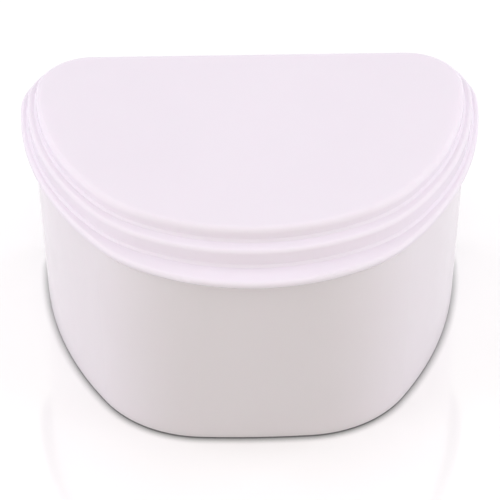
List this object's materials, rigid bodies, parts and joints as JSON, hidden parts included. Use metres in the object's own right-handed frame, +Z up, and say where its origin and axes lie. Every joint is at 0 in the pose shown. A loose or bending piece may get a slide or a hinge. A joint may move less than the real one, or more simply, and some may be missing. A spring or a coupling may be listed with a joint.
{
  "type": "denture case",
  "caption": "Deep D-shaped denture bath: a tub with a stepped lid hinged on pins along its straight back, and a lift-out strainer basket inside.",
  "frame": {"origin": "on the table under the middle of the case, hinge included", "axes": "+X to the right along the straight back, +Y from the curved front to the hinged back, +Z up"},
  "size_m": [0.095, 0.0786, 0.0505],
  "materials": {
    "tub_plastic": "smooth glossy white moulded polypropylene with a faint pink cast",
    "lid_plastic": "smooth glossy white moulded polypropylene with a faint lavender cast",
    "basket_plastic": "satin white moulded polypropylene",
    "hinge_pin_steel": "drawn stainless wire"
  },
  "bodies": {
    "tub": {"tub": "tub_plastic", "left_hinge_pin": "hinge_pin_steel", "right_hinge_pin": "hinge_pin_steel"},
    "lid": {"lid": "lid_plastic"},
    "basket": {"strainer_basket": "basket_plastic"}
  },
  "joints": [
    {"name": "lid_hinge", "type": "hinge", "parent": "tub", "child": "lid", "pos_m": [0, 0.03561, 0.03955], "axis": [-1, 0, 0], "range_deg": [0, 115]},
    {"name": "basket_lift", "type": "slide", "parent": "tub", "child": "basket", "axis": [0, 0, 1], "range_m": [0, 0.038]}
  ],
  "couplings": [
    {"joint": "basket_lift", "follows": "lid_hinge", "m_per_rad": 0.01893}
  ]
}
